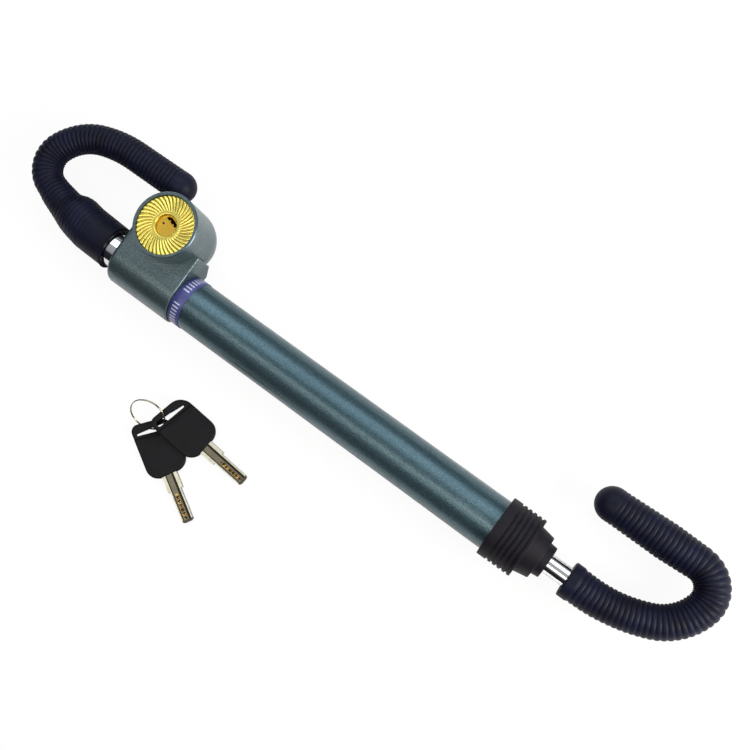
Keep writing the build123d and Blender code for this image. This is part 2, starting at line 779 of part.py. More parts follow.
# The boot steps down from the tube to the rod, with ribs round its first step.
with BuildPart() as end_boot:
    with BuildSketch(bar_profile):
        with BuildLine():
            ribs_left = boot_left + boot_collar
            boot_outline = [(boot_left, tube_r + seat_gap), (boot_left, boot_r), (ribs_left, boot_r)]
            for i in range(boot_ribs):
                crest = boot_r - (i + 1) * boot_taper
                start = ribs_left + i * boot_rib_pitch
                boot_outline.append((start, crest - boot_rib_depth))
                boot_outline.append((start + boot_rib_pitch - boot_rib_crest, crest - boot_rib_depth))
                boot_outline.append((start + boot_rib_pitch - boot_rib_crest, crest))
                boot_outline.append((start + boot_rib_pitch, crest))
            second = ribs_left + boot_ribs * boot_rib_pitch
            third = second + boot_second_length
            boot_end = third + boot_third_length
            boot_outline.append((second, boot_second_r[0]))
            boot_outline.append((third, boot_second_r[1]))
            boot_outline.append((third, boot_third_r[0]))
            boot_outline.append((boot_end, boot_third_r[1]))
            boot_outline.append((boot_end, fixed_rod_r + seat_gap))
            boot_outline.append((end_plug_face + end_neck_length + seat_gap, fixed_rod_r + seat_gap))
            boot_outline.append((end_plug_face + end_neck_length + seat_gap, end_neck_r + seat_gap))
            boot_outline.append((end_plug_face + seat_gap, end_neck_r + seat_gap))
            boot_outline.append((end_plug_face + seat_gap, tube_r + seat_gap))
            Polyline(boot_outline, close=True)
        make_face()
    revolve(axis=bar_axis)
end_boot.part.label = "end_boot"
export_step(end_boot.part, "parts/end_boot.step")

# ---- Keys ----

# The ring leans on the keys, turned about the line from its centre to them.
ring_along = Vector(cos(radians(ring_heading)), sin(radians(ring_heading)), 0)
ring_up = Vector(0, 0, cos(radians(ring_tilt)))
ring_level = Vector(-ring_along.Y, ring_along.X, 0)
ring_normal = ring_up - ring_level * sin(radians(ring_tilt))

with BuildPart() as key_ring:
    with BuildSketch(Plane(origin=ring_centre, x_dir=ring_along, z_dir=ring_along.cross(ring_normal))):
        with Locations((ring_r, 0)):
            Circle(ring_wire_r)
    revolve(axis=Axis(ring_centre, ring_normal))
key_ring.part.label = "key_ring"
export_step(key_ring.part, "parts/key_ring.step")


def ring_point(angle):
    """Point of the ring's centreline at this angle from the line to the keys."""
    rise = ring_level * cos(radians(ring_tilt)) + Vector(0, 0, sin(radians(ring_tilt)))
    off_centre = ring_along * cos(radians(angle)) + rise * sin(radians(angle))
    return Vector(*ring_centre) + off_centre * ring_r


def key_plane(ring_angle, heading, pitch):
    """Middle plane of a key that hangs on the ring, with local x down its blade."""
    turn = radians(heading)
    dip = radians(pitch)
    down_blade = (cos(turn) * cos(dip), sin(turn) * cos(dip), -sin(dip))
    normal = (cos(turn) * sin(dip), sin(turn) * sin(dip), cos(dip))
    return Plane(origin=ring_point(ring_angle), x_dir=down_blade, z_dir=normal)


for tag, ring_angle, heading, pitch, hang in keys:
    middle = key_plane(ring_angle, heading, pitch)
    down_blade = Axis(middle.origin, middle.x_dir)
    through_key = Axis(middle.origin, middle.z_dir)
    # place of the bow's foot from the hanging point, which is on the slot's line
    lean = tan(radians(bow_slant))
    foot_x = bow_length - slot_inset - hang * lean
    foot_y = -hang
    slot_middle = Location((foot_x - bow_length + slot_inset, foot_y, 0), (0, 0, -bow_slant))

    with BuildPart() as key_blade:
        with BuildSketch(middle.offset(-blade_thick / 2)):
            with Locations((foot_x - blade_tang, foot_y)):
                Rectangle(blade_tang + shoulder_length, shoulder_width, align=(Align.MIN, Align.CENTER))
            with Locations((foot_x, foot_y)):
                Rectangle(blade_length, blade_width, align=(Align.MIN, Align.CENTER))
        extrude(amount=blade_thick)
        tip_edges = key_blade.edges().filter_by(through_key).sort_by(down_blade)[-2:]
        fillet(tip_edges, blade_tip_corner)
        for level, into in ((blade_thick / 2, -1), (-blade_thick / 2, 1)):
            with BuildSketch(middle.offset(level)):
                groove_ys = (foot_y + blade_groove_offset, foot_y - blade_groove_offset)
                with Locations([(foot_x, y) for y in groove_ys]):
                    Rectangle(blade_length + clear_cut, blade_groove_width, align=(Align.MIN, Align.CENTER))
            extrude(amount=into * blade_groove_depth, mode=Mode.SUBTRACT)
            with BuildSketch(middle.offset(level)):
                for i in range(dimple_count):
                    with Locations((foot_x + blade_length - (i + 1) * dimple_pitch, foot_y)):
                        Circle(dimple_r)
            extrude(amount=into * dimple_depth, taper=dimple_taper, mode=Mode.SUBTRACT)
    key_blade.part.label = "key_blade_" + tag
    export_step(key_blade.part, "parts/key_blade_" + tag + ".step")

    with BuildPart() as key_bow:
        far = bow_offset + bow_half
        near = bow_offset - bow_half
        with BuildSketch(middle.offset(-bow_thick / 2)):
            with BuildLine():
                Polyline(
                    (foot_x, foot_y + near),
                    (foot_x, foot_y + far),
                    (foot_x - bow_length + far * lean, foot_y + far),
                    (foot_x - bow_length + near * lean, foot_y + near),
                    close=True,
                )
            make_face()
            fillet(vertices().sort_by(Axis.X)[-2:], bow_foot_corner)
            fillet(vertices().sort_by(Axis.X)[:1], bow_long_corner)
            fillet(vertices().group_by(Axis.Y)[-1].sort_by(Axis.X)[:1], bow_short_corner)
        extrude(amount=bow_thick)
        for face in (key_bow.faces().sort_by(through_key)[0], key_bow.faces().sort_by(through_key)[-1]):
            chamfer(face.outer_wire().edges(), bow_edge)
        with BuildSketch(middle.offset(-bow_thick / 2)):
            with Locations(slot_middle):
                SlotOverall(slot_length, slot_width, rotation=90)
        extrude(amount=bow_thick, mode=Mode.SUBTRACT)
        # the end round the slot is thinner than the grip
        for level, into in ((bow_thick / 2, -1), (-bow_thick / 2, 1)):
            with BuildSketch(middle.offset(level)):
                with Locations(slot_middle):
                    with Locations((slot_rim, 0)):
                        Rectangle(bow_length, 3 * bow_half, align=(Align.MAX, Align.CENTER))
            extrude(amount=into * slot_rim_step, mode=Mode.SUBTRACT)
        with BuildSketch(middle.offset(-blade_thick / 2 - seat_gap)):
            with Locations((foot_x, foot_y)):
                Rectangle(
                    blade_tang + seat_gap,
                    shoulder_width + 2 * seat_gap,
                    align=(Align.MAX, Align.CENTER),
                )
        extrude(amount=blade_thick + 2 * seat_gap, mode=Mode.SUBTRACT)
    key_bow.part.label = "key_bow_" + tag
    export_step(key_bow.part, "parts/key_bow_" + tag + ".step")
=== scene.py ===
import json
import math

import bpy
import numpy as np
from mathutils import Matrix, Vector


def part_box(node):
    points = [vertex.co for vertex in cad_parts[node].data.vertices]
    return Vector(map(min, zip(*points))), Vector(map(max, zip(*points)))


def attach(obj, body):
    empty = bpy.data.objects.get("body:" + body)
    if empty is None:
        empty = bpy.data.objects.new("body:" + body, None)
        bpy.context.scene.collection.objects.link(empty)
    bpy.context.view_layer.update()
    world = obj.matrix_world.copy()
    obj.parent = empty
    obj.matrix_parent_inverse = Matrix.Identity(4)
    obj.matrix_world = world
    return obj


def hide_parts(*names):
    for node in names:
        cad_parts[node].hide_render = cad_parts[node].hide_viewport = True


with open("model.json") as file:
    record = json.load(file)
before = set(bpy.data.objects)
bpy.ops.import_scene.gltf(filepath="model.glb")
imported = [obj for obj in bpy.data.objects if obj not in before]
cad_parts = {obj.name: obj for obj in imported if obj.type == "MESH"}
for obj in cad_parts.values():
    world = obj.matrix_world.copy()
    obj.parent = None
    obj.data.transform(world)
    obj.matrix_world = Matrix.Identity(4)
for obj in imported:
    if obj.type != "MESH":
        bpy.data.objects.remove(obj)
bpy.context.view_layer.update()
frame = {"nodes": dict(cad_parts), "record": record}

mm = 0.001
joints = {joint["name"]: joint for joint in frame["record"]["behaviour"]["joints"]}

tubeLow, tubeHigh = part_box("main_tube")
tubeEnd = tubeHigh.x / mm
barY = (tubeLow.y + tubeHigh.y) / 2 / mm
barZ = (tubeLow.z + tubeHigh.z) / 2 / mm


def toLinear(hexColour):  # an sRGB hex colour as linear RGBA
    parts = [int(hexColour[i:i + 2], 16) / 255 for i in (1, 3, 5)]
    return [c / 12.92 if c <= 0.04045 else ((c + 0.055) / 1.055) ** 2.4 for c in parts] + [1.0]


def addNode(owner, kind, links=(), **settings):  # links: (input, node, output); settings: properties or inputs
    node = owner.node_tree.nodes.new(kind)
    for key, value in settings.items():
        if hasattr(node, key):
            setattr(node, key, value)
        else:
            node.inputs[key.replace("_", " ")].default_value = value
    for target, source, output in links:
        owner.node_tree.links.new(source.outputs[output], node.inputs[target])
    return node


def sums(owner, operation, first, second=None, third=None):
    # a Math node; each term is a number or a (node, output) pair
    node = addNode(owner, "ShaderNodeMath", operation=operation)
    for place, term in enumerate((first, second, third)):
        if isinstance(term, tuple):
            owner.node_tree.links.new(term[0].outputs[term[1]], node.inputs[place])
        elif term is not None:
            node.inputs[place].default_value = term
    return (node, "Value")


def newMaterial(name, **surface):  # a material with one Principled shader
    material = bpy.data.materials.new(name)
    material.use_nodes = True
    material.node_tree.nodes.clear()
    shader = addNode(material, "ShaderNodeBsdfPrincipled", **surface)
    addNode(material, "ShaderNodeOutputMaterial", [("Surface", shader, "BSDF")])
    return material, shader


def link(owner, source, output, target, inputName):
    owner.node_tree.links.new(source.outputs[output], target.inputs[inputName])


def ramp(owner, source, output, stops):  # a colour ramp of (place, hex colour) stops
    node = addNode(owner, "ShaderNodeValToRGB", [("Fac", source, output)])
    elements = node.color_ramp.elements
    while len(elements) < len(stops):
        elements.new(0.5)
    for element, (place, colour) in zip(elements, stops):
        element.position = place
        element.color = toLinear(colour)
    return node


def noiseAt(owner, scale, detail=3.0):  # noise in object space; scale is a number or one for each axis
    coords = addNode(owner, "ShaderNodeTexCoord")
    stretch = addNode(owner, "ShaderNodeMapping", [("Vector", coords, "Object")])
    stretch.inputs["Scale"].default_value = scale if isinstance(scale, tuple) else (scale,) * 3
    return addNode(owner, "ShaderNodeTexNoise", [("Vector", stretch, "Vector")], Scale=1.0, Detail=detail)


def bumpFrom(material, shader, source, output, strength, distance):
    bump = addNode(material, "ShaderNodeBump", [("Height", source, output)], Strength=strength, Distance=distance)
    link(material, bump, "Normal", shader, "Normal")


def hammeredPaint(name, dark, mid, pale):
    # hammer-finish enamel, sprayed: soft pebbling nearly a millimetre wide under a gloss coat, and slow clouds of
    # tone along the bar. The aluminium flake in it is drawn half a millimetre wide, coarser than real, to show
    material, shader = newMaterial(name, Metallic=0.7, Roughness=0.33, Coat_Weight=0.1, Coat_Roughness=0.2)
    coords = addNode(material, "ShaderNodeTexCoord")
    pebbles = addNode(material, "ShaderNodeTexVoronoi", [("Vector", coords, "Object")], feature="SMOOTH_F1",
                      Scale=1100.0, Smoothness=1.0)
    flake = noiseAt(material, 1700.0, 2.0)
    cloud = noiseAt(material, (6.0, 60.0, 60.0))
    tone = sums(material, "MULTIPLY_ADD", (cloud, "Fac"), 0.35, sums(material, "MULTIPLY", (flake, "Fac"), 0.65))
    colour = ramp(material, tone[0], tone[1], [(0.36, dark), (0.5, mid), (0.66, pale)])
    link(material, colour, "Color", shader, "Base Color")
    bumpFrom(material, shader, pebbles, "Distance", 0.25, 0.0004)
    return material


def roughBy(material, shader, source, low, high):  # a noise spreads the roughness between two values
    spread = addNode(material, "ShaderNodeMapRange", [("Value", source, "Fac")], To_Min=low, To_Max=high)
    link(material, spread, "Result", shader, "Roughness")


def brightMetal(name, colour, rough, grain=0.0, scale=(400.0, 400.0, 400.0)):
    # polished or brushed metal: the scale stretches the marks one way, the grain is their depth
    material, shader = newMaterial(name, Metallic=1.0, Base_Color=toLinear(colour))
    marks = noiseAt(material, scale)
    roughBy(material, shader, marks, rough * 0.7, rough * 1.3)
    if grain:
        bumpFrom(material, shader, marks, "Fac", grain, 0.0001)
    return material


def softSkin(name, dark, pale, rough, gloss, grain):
    # moulded vinyl, rubber or plastic: a matt grain, drawn coarser than real so that it shows, and a little paler
    # in patches a centimetre or so wide where it is handled
    material, shader = newMaterial(name, Roughness=rough, Specular_IOR_Level=gloss)
    pores = noiseAt(material, 1400.0)
    patches = noiseAt(material, 70.0)
    colour = ramp(material, patches, "Fac", [(0.35, dark), (0.7, pale)])
    link(material, colour, "Color", shader, "Base Color")
    bumpFrom(material, shader, pores, "Fac", grain, 0.0002)
    return material


def wavesAbove(owner, angle, count, level):  # 1 where a sine of so many waves round the axis is above a level
    wave = sums(owner, "SINE", sums(owner, "MULTIPLY", angle, count))
    return sums(owner, "GREATER_THAN", wave, level)


def bandFilm(cfg, middle):
    # printed vinyl film: indigo, with a row of plain pale strokes round it and no words
    material, shader = newMaterial("printed_indigo_film", Roughness=0.4)
    coords = addNode(material, "ShaderNodeTexCoord")
    centre = addNode(material, "ShaderNodeMapping", [("Vector", coords, "Object")])
    centre.inputs["Location"].default_value = (-middle * mm, -barY * mm, -barZ * mm)
    axes = addNode(material, "ShaderNodeSeparateXYZ", [("Vector", centre, "Vector")])
    angle = sums(material, "ARCTAN2", (axes, "Z"), (axes, "Y"))
    stroke = wavesAbove(material, angle, *cfg["strokes"])
    group = wavesAbove(material, angle, *cfg["groups"])
    inside = sums(material, "LESS_THAN", sums(material, "ABSOLUTE", (axes, "X")), cfg["tall"] / 2 * mm)
    marks = sums(material, "MULTIPLY", sums(material, "MULTIPLY", stroke, group), inside)
    colour = ramp(material, marks[0], marks[1], [(0.0, "#33386f"), (1.0, "#a9adc4")])
    link(material, colour, "Color", shader, "Base Color")
    return material


tubePaint = hammeredPaint("hammer_finish_enamel", "#2b4249", "#3b535b", "#546b72")
castPaint = hammeredPaint("hammer_finish_enamel_on_cast_steel", "#3f5053", "#506165", "#64757a")
chrome = brightMetal("polished_chrome_plate", "#dadada", 0.05)  # near mirror: dark and white lines
brass = brightMetal("bright_dipped_brass", "#dccc66", 0.32)  # yellow, and soft enough to glow on each petal
plugBrass = brightMetal("satin_turned_brass", "#c9a640", 0.38, 0.12, (2500.0, 500.0, 500.0))  # streaked, deeper
wireSteel = brightMetal("drawn_steel_wire", "#9a9680", 0.2)  # a bright line with a straw tint
darkSteel = brightMetal("hardened_ground_steel", "#707073", 0.35, 0.1)  # grey and matt
blackSteel = brightMetal("black_oxide_steel", "#25231f", 0.5)  # a dark dot
sleeveSkin = softSkin("ribbed_soft_vinyl", "#0b0d1a", "#12152a", 0.5, 0.12, 0.18)
bootSkin = softSkin("moulded_boot_rubber", "#0f0e14", "#17151d", 0.55, 0.15, 0.15)
bowPlastic = softSkin("moulded_abs_key_grip", "#0b0c0f", "#101216", 0.42, 0.1, 0.25)
nylon = softSkin("natural_nylon", "#c9c7bd", "#d6d4ca", 0.5, 0.5, 0.05)

nodeMaterials = {
    tubePaint: ["main_tube", "cross_pin"],
    castPaint: ["lock_housing", "head_pin_set", "web_pin"],
    nylon: ["mouth_bush", "stop_ring"],
    plugBrass: ["cylinder_body", "cylinder_plug", "plug_pins", "driver_pins"],
    darkSteel: ["driver_springs", "plug_clip", "cam_tailpiece", "locking_bolt", "stop_screw", "end_plug"],
    blackSteel: ["drill_pin"],
    chrome: ["fixed_hook_rod", "sliding_hook_rod", "sliding_shank"],
    wireSteel: ["key_ring"], brass: ["face_rosette"], bootSkin: ["end_boot"],
    bowPlastic: ["key_bow_a", "key_bow_b"],
    sleeveSkin: ["sliding_hook_sleeve", "fixed_hook_sleeve"],
}
for material, names in nodeMaterials.items():
    for name in names:
        for slot in frame["nodes"][name].material_slots:
            slot.material = material
print("materials done")


def meshFromRows(name, rows, closed=False):
    # rows is an (n, m, 3) grid in millimetres, closed round m; closed also joins its last row to its first,
    # and otherwise its first and last rows are each one point
    n, m, _ = rows.shape
    i = np.arange(m)
    j = (i + 1) % m
    if closed:
        points = rows.reshape(-1, 3)
        a = np.arange(n)[:, None] * m
        b = ((np.arange(n) + 1) % n)[:, None] * m
        faces = np.stack([a + i, a + j, b + j, b + i], -1).reshape(-1, 4).tolist()
    else:
        points = np.vstack([rows[0, :1], rows[1:-1].reshape(-1, 3), rows[-1, :1]])
        a = 1 + np.arange(n - 3)[:, None] * m
        faces = np.stack([a + i, a + j, a + m + j, a + m + i], -1).reshape(-1, 4).tolist()
        last = 1 + (n - 3) * m
        faces += np.stack([np.zeros(m, int), 1 + j, 1 + i], -1).tolist()
        faces += np.stack([np.full(m, len(points) - 1), last + i, last + j], -1).tolist()
    mesh = bpy.data.meshes.new(name)
    mesh.from_pydata((points * mm).tolist(), [], faces)
    mesh.polygons.foreach_set("use_smooth", np.ones(len(faces), bool))
    mesh.update()
    piece = bpy.data.objects.new(name, mesh)
    bpy.context.collection.objects.link(piece)
    return piece


def turnOutwards(piece):  # flips every face if the mesh's signed volume is negative
    mesh = piece.data
    mesh.calc_loop_triangles()
    points = np.empty(len(mesh.vertices) * 3)
    mesh.vertices.foreach_get("co", points)
    corners = np.empty(len(mesh.loop_triangles) * 3, int)
    mesh.loop_triangles.foreach_get("vertices", corners)
    p = points.reshape(-1, 3)[corners.reshape(-1, 3)]
    if np.einsum("ij,ij->i", p[:, 0], np.cross(p[:, 1], p[:, 2])).sum() < 0:
        mesh.flip_normals()


def finishPiece(piece, body, material, replaced):
    # the piece rides on a body, fills a material's slot and takes the place of a CAD node
    turnOutwards(piece)
    piece.data.materials.append(material)
    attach(piece, body)
    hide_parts(replaced)


def rounded(points, radius, steps=5):
    # a polyline of 2-D points whose inner corners become short curves of about this radius
    points = [np.array(p, float) for p in points]
    result = [points[0]]
    t = np.linspace(0, 1, steps)[:, None]
    for before, corner, after in zip(points, points[1:], points[2:]):
        a, b = before - corner, after - corner
        reach = min(radius, np.linalg.norm(a) * 0.45, np.linalg.norm(b) * 0.45)
        start = corner + a / np.linalg.norm(a) * reach
        stop = corner + b / np.linalg.norm(b) * reach
        result.extend((1 - t) ** 2 * start + 2 * t * (1 - t) * corner + t ** 2 * stop)
    result.append(points[-1])
    return np.array(result)


def hookLine(start, heading, runs, s):
    # a line in the hooks' plane of straights (length,) and left-hand arcs (radius, degrees), read at lengths s;
    # the last run goes straight on. Gives x, y and the heading in radians
    x0, y0, h0 = start[0], start[1], math.radians(heading)
    x, y, h = x0 + s * math.cos(h0), y0 + s * math.sin(h0), np.full_like(s, h0)
    done = 0.0
    for run in runs:
        d = s - done
        if len(run) == 1:
            length, turn, bend = run[0], 0.0, 0.0
            nx, ny, nh = x0 + d * math.cos(h0), y0 + d * math.sin(h0), np.full_like(s, h0)
        else:
            bend, turn = run[0], math.radians(run[1])
            length = bend * turn
            nh = h0 + np.clip(d, 0, length) / bend
            past = np.clip(d - length, 0, None)
            nx = x0 + bend * (np.sin(nh) - math.sin(h0)) + past * np.cos(nh)
            ny = y0 - bend * (np.cos(nh) - math.cos(h0)) + past * np.sin(nh)
        on = d >= 0
        x, y, h = np.where(on, nx, x), np.where(on, ny, y), np.where(on, nh, h)
        if bend:
            x0 += bend * (math.sin(h0 + turn) - math.sin(h0))
            y0 -= bend * (math.cos(h0 + turn) - math.cos(h0))
            h0 += turn
        else:
            x0, y0 = x0 + length * math.cos(h0), y0 + length * math.sin(h0)
        done += length
    return x, y, h


def runsLength(runs):
    return sum(run[0] if len(run) == 1 else run[0] * math.radians(run[1]) for run in runs)


def carriedRows(x, y, heading, radius, sides):
    # circles of these radii stand square to a line in the hooks' plane
    angle = np.linspace(0, 2 * np.pi, sides, endpoint=False)
    side, up = radius[:, None] * np.cos(angle), radius[:, None] * np.sin(angle)
    return np.stack([x[:, None] - side * np.sin(heading)[:, None],
                     y[:, None] + side * np.cos(heading)[:, None], barZ + up], -1)


def turnedRows(profile, sides):  # a profile of (x, radius) turned round the bar's axis
    angle = np.linspace(0, 2 * np.pi, sides, endpoint=False)
    along, r = profile[:, :1], profile[:, 1:]
    return np.stack([along + 0 * angle, barY + r * np.cos(angle), barZ + r * np.sin(angle)], -1)


def ribWave(s, pitch):  # 1 on a rib's round crest, at whole pitches, and 0 in the narrow groove between two
    return np.abs(np.cos(np.pi * s / pitch)) ** 0.6


def smooth(t):  # eases from 0 to 1 as t goes from 0 to 1
    t = np.clip(t, 0, 1)
    return t * t * (3 - 2 * t)


# girth: the radius over the ribs at lengths along the line; mouth and low: the line's start past the tube's end
# and below the bar's axis; the ribs fade out over fade, and leave plain before the dome
fixedSleeve = {"girth": [(0.0, 10.7), (30.0, 10.0), (105.0, 10.1), (128.0, 11.1), (170.0, 10.2)],
               "runs": [(12.0,), (90.0, 24.5), (32.8, 51.7), (15.5, 104.5), (54.9,)],
               "mouth": 31.0, "low": 0.7, "rod": 6.05, "collar": 6.0, "collarRadius": 10.85, "lip": 0.6,
               "groove": 0.75, "pitch": 3.0, "plain": 2.2, "fade": 1.5, "perPitch": 12, "sides": 72}
domeRows = 16
boreRows = 90


def makeFixedSleeve(cfg):
    # one skin: the rod's bore, a plain collar, ribs along the whole line, then a dome of the ribs' radius. A rib's
    # height is a power of a cosine along the line
    length = runsLength(cfg["runs"])
    s = np.arange(0.0, length, cfg["pitch"] / cfg["perPitch"])
    ribs = cfg["groove"] * (1 - ribWave(s - cfg["collar"], cfg["pitch"]))
    worn = smooth((length - cfg["plain"] - s) / cfg["fade"])
    r = np.interp(s, *zip(*cfg["girth"])) - ribs * worn
    rounding = np.clip(cfg["lip"] - s, 0, None) ** 2 / cfg["lip"]
    r = np.where(s < cfg["collar"], cfg["collarRadius"] - rounding, r)
    dome = np.radians(np.linspace(4, 90, domeRows))
    bore = np.linspace(length, 0, boreRows)
    s = np.concatenate([[length], bore, s, length + r[-1] * np.sin(dome)])
    r = np.concatenate([[0.0], np.full(boreRows, cfg["rod"]), r, r[-1] * np.cos(dome)])
    x, y, h = hookLine((tubeEnd + cfg["mouth"], barY - cfg["low"]), 0.0, cfg["runs"], s)
    sleeve = meshFromRows("fixedSleeve", carriedRows(x, y, h, r, cfg["sides"]))
    finishPiece(sleeve, "bar", sleeveSkin, "fixed_hook_sleeve")


makeFixedSleeve(fixedSleeve)
print("fixed sleeve done")

# swell: stations of the swelling over the shank, each (x, y of its middle, radius); straight: where its line has
# come round to the bar's; ease: the rows over which its corners are eased, about 4 mm
slidingSleeve = {"girth": [(0.0, 10.2), (45.0, 10.0), (85.0, 9.6), (105.0, 9.9), (125.0, 9.7)],
                 "runs": [(37.8,), (85.0, 17.9), (36.8, 45.7), (17.1, 98.0), (2.0,)],
                 "swell": [(-92.0, -23.0, 10.3), (-79.5, -26.2, 11.4), (-76.0, -26.6, 12.4), (-72.0, -26.7, 13.8),
                           (-67.0, -27.2, 14.6), (-58.0, -28.7, 14.8), (-35.0, -29.5, 14.5)],
                 "tip": (-23.0, 26.0), "straight": -62.0, "mouth": -35.0, "shank": 11.8, "boreEnd": -60.6,
                 "groove": 0.75, "fine": 0.3, "pitch": 3.0, "rise": (2.0, 3.5), "thin": 14.0, "plain": 13.0,
                 "fade": 10.0, "perPitch": 12, "step": 0.25, "ease": 19, "sides": 80}


def makeSlidingSleeve(cfg):
    # dome, ribbed line round the bend, then the swelling with finer ribs that fade to a plain mouth, and the
    # blind bore that the shank's end fills
    length = runsLength(cfg["runs"])
    along = np.arange(0.0, length, cfg["pitch"] / cfg["perPitch"])
    x, y, h = hookLine(cfg["tip"], 180.0, cfg["runs"], along)
    girth = np.interp(along, *zip(*cfg["girth"]))
    stations = np.array([(x[-1], y[-1], girth[-1])] + cfg["swell"])
    swellX = np.arange(x[-1] + cfg["step"], cfg["mouth"], cfg["step"])
    x = np.concatenate([x, swellX])
    y = np.concatenate([y, np.interp(swellX, stations[:, 0], stations[:, 1])])
    r = np.concatenate([girth, np.interp(swellX, stations[:, 0], stations[:, 2])])
    soft = np.hanning(cfg["ease"])
    soft /= soft.sum()
    half = cfg["ease"] // 2
    eased = slice(len(along) - half, -half)
    y[eased] = np.convolve(y, soft, "same")[eased]
    r[eased] = np.convolve(r, soft, "same")[eased]
    left = np.interp(swellX, [swellX[0], cfg["straight"]], [h[-1] - 2 * np.pi, 0.0])
    h = np.concatenate([h, 2 * np.pi + left])
    s = np.concatenate([along, length + np.arange(1, len(swellX) + 1) * cfg["step"]])
    deep = np.interp(s, [*cfg["rise"], length, length + cfg["thin"]],
                     [0.0, cfg["groove"], cfg["groove"], cfg["fine"]])
    deep *= np.where(s > length, smooth((cfg["mouth"] - cfg["plain"] - x) / cfg["fade"]), 1.0)
    r -= deep * (1 - ribWave(s - cfg["pitch"], cfg["pitch"]))
    dome = np.radians(np.linspace(90, 4, domeRows))
    lip = np.array([(-0.35, 0.06), (-0.12, 0.25), (0.0, 0.6)])  # along, and in from the mouth's edge
    bore = np.array([(cfg["mouth"], cfg["shank"]), (cfg["boreEnd"] + 0.1, cfg["shank"]), (cfg["boreEnd"], 4.0),
                     (cfg["boreEnd"], 0.0)])
    inside = len(lip) + len(bore)
    x = np.concatenate([cfg["tip"][0] + girth[0] * np.sin(dome), x, cfg["mouth"] + lip[:, 0], bore[:, 0]])
    y = np.concatenate([np.full(domeRows, cfg["tip"][1]), y, np.full(inside, barY)])
    h = np.concatenate([np.full(domeRows, np.pi), h, np.full(inside, 2 * np.pi)])
    r = np.concatenate([girth[0] * np.cos(dome), r, r[-1] - lip[:, 1], bore[:, 1]])
    sleeve = meshFromRows("slidingSleeve", carriedRows(x, y, h, r, cfg["sides"]))
    finishPiece(sleeve, "sliding_hook", sleeveSkin, "sliding_hook_sleeve")


makeSlidingSleeve(slidingSleeve)
print("sliding sleeve done")

# the petals start at one radius and are at full depth from another; dish: how far the face sinks to its bore;
# end and drop: the width and depth of the petals' rounded ends; side: how far down the plain rim starts
rosette = {"petals": 40, "perPetal": 18, "bore": 6.85, "start": 8.4, "full": 10.5, "depth": 0.6, "swirl": 19.0,
           "power": 0.85, "dish": 0.6, "end": 0.9, "drop": 0.55, "side": 1.4}


def makeRosette(cfg):
    # a ring closed through its bore and side. Each petal's height is a power of a sine across it, so grooves are
    # sharp and crests round; the columns turn with the swirl, and the petals' ends are rounded down
    low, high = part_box("face_rosette")
    outer, seat, top = (high.x - low.x) / 2 / mm, low.z / mm, high.z / mm
    bore, end, power = cfg["bore"], cfg["end"], cfg["power"]
    rim = outer - np.array([0.6, 0.35, 0.15, 0.03])
    face = np.concatenate([np.linspace(bore + 0.5, outer - end, 32), rim])
    r = np.concatenate([[bore, bore, bore, bore + 0.15], face, [outer, outer]])
    rise = np.clip((r - cfg["start"]) / (outer - cfg["start"]), 0, 1)
    base = top - cfg["dish"] * (1 - rise)
    base[[2, 3]] -= [0.35, 0.08]  # the bore's rounded edge
    fade = smooth((r - cfg["start"]) / (cfg["full"] - cfg["start"]))
    ends = np.clip((r - outer + end) / end, 0, 1)
    base -= cfg["drop"] * (1 - np.sqrt(1 - ends ** 2 * 0.99))
    base[1], base[-2] = (seat + top) / 2, top - cfg["side"]
    base[0], base[-1] = seat, seat
    fade[[1, -2, -1]] = 0
    column = np.arange(cfg["petals"] * cfg["perPetal"])
    angle = column * 2 * np.pi / len(column) + np.radians(cfg["swirl"]) * rise[:, None] ** power
    crest = np.abs(np.sin(np.pi * column / cfg["perPetal"])) ** power
    depth = cfg["depth"] * (0.55 + 0.45 * rise) * fade
    z = base[:, None] - depth[:, None] * (1 - crest)
    rows = np.stack([r[:, None] * np.cos(angle), r[:, None] * np.sin(angle), z], -1)
    finishPiece(meshFromRows("rosette", rows, closed=True), "bar", brass, "face_rosette")


makeRosette(rosette)
print("rosette done")

# lap: how far the boot reaches back over the tube; steps: each (length, first radius, last radius)
boot = {"lap": 17.5, "radius": 19.1, "collar": 6.0, "ribs": 5, "pitch": 3.2, "crest": 2.0, "depth": 0.85,
        "taper": 0.03, "steps": [(8.8, 15.0, 13.4), (4.6, 10.3, 9.8)], "wall": 1.0, "neck": 9.04,
        "flange": 3.04, "neckEnd": 9.04, "rod": 6.05, "tube": 16.04, "soft": 0.45, "sides": 112}


def makeBoot(cfg):
    # a turned outline: collar, five ribs and two smaller steps, back inside along the tube, flange and rod
    left = tubeEnd - cfg["lap"]
    ribsLeft = left + cfg["collar"]
    outline = [(left, cfg["tube"] + cfg["wall"]), (left, cfg["radius"]), (ribsLeft, cfg["radius"])]
    for i in range(cfg["ribs"]):
        crest = cfg["radius"] - (i + 1) * cfg["taper"]
        start = ribsLeft + i * cfg["pitch"]
        wall = start + cfg["pitch"] - cfg["crest"]
        outline += [(start, crest - cfg["depth"]), (wall, crest - cfg["depth"]), (wall, crest),
                    (start + cfg["pitch"], crest)]
    x = ribsLeft + cfg["ribs"] * cfg["pitch"]
    for length, wide, narrow in cfg["steps"]:
        outline += [(x, wide), (x + length, narrow)]
        x += length
    neckEnd, flange = tubeEnd + cfg["neckEnd"], tubeEnd + cfg["flange"]
    inside = [(x, cfg["rod"]), (neckEnd, cfg["rod"]), (neckEnd, cfg["neck"]), (flange, cfg["neck"]),
              (flange, cfg["tube"]), (left, cfg["tube"])]
    profile = np.vstack([rounded(outline + inside[:1], cfg["soft"]), inside[1:]])
    rows = turnedRows(profile, cfg["sides"])
    finishPiece(meshFromRows("boot", rows, closed=True), "bar", bootSkin, "end_boot")


makeBoot(boot)
print("boot done")

